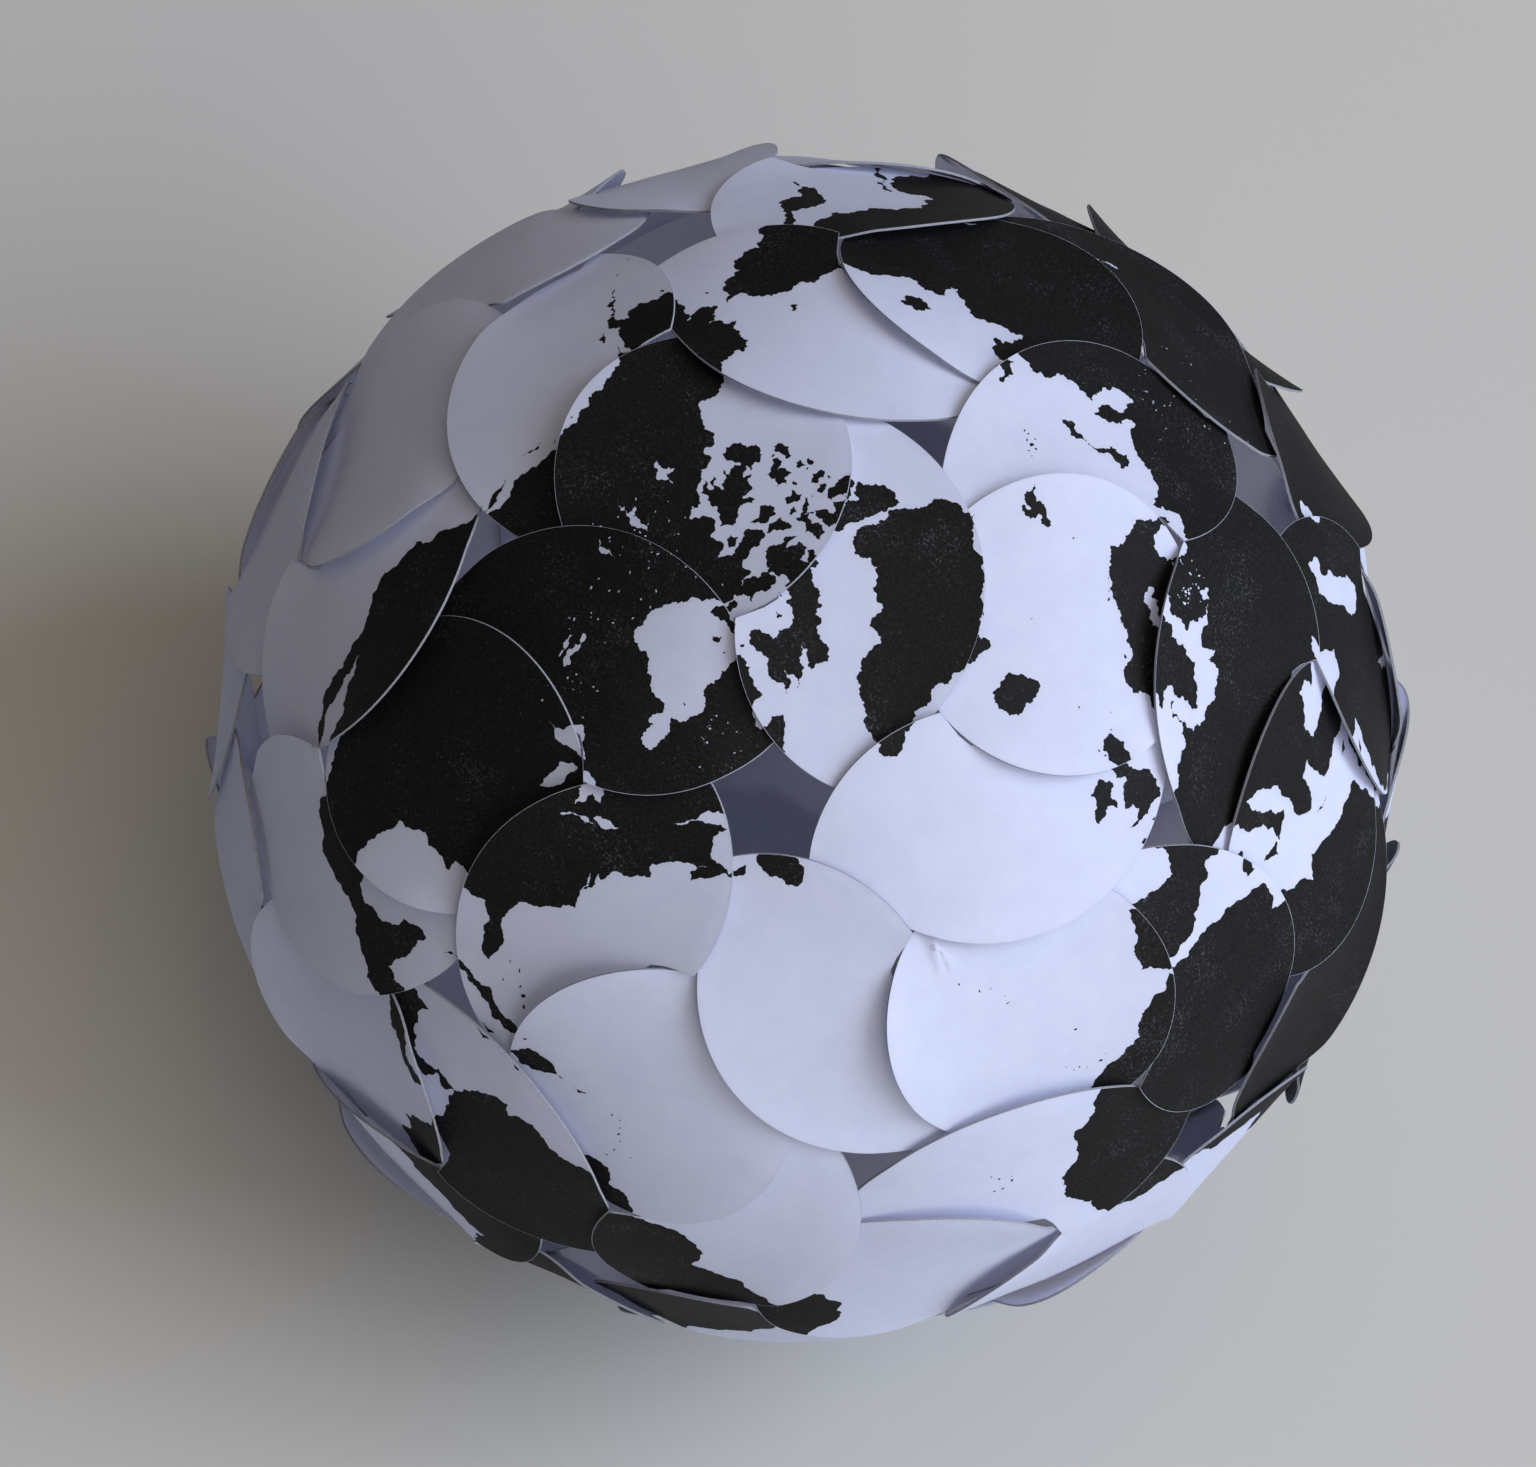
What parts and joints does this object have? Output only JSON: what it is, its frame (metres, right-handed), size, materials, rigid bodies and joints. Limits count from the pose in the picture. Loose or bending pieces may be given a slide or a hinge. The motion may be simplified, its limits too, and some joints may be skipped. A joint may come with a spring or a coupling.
{
  "type": "woven paper ball",
  "caption": "Hollow ball woven from alike cut-paper leaves: each round leaf has two lobes that pass over its neighbours and hook together, leaving small star gaps.",
  "frame": {"origin": "the ball's middle", "axes": "+Z out through the three-sided gap at the top, +X towards the five-sided gap nearest the middle line of the ball's front"},
  "size_m": [0.1002, 0.0996, 0.0992],
  "materials": {
    "paper": "matt uncoated card, printed black on the outside"
  },
  "bodies": {
    "root": {"leaf_01": "paper", "leaf_02": "paper", "leaf_03": "paper", "leaf_04": "paper", "leaf_05": "paper", "leaf_06": "paper", "leaf_07": "paper", "leaf_08": "paper", "leaf_09": "paper", "leaf_10": "paper", "leaf_11": "paper", "leaf_12": "paper", "leaf_13": "paper", "leaf_14": "paper", "leaf_15": "paper", "leaf_16": "paper", "leaf_17": "paper", "leaf_18": "paper", "leaf_19": "paper", "leaf_20": "paper", "leaf_21": "paper", "leaf_22": "paper", "leaf_23": "paper", "leaf_24": "paper", "leaf_25": "paper", "leaf_26": "paper", "leaf_27": "paper", "leaf_28": "paper", "leaf_29": "paper", "leaf_30": "paper"}
  },
  "joints": []
}
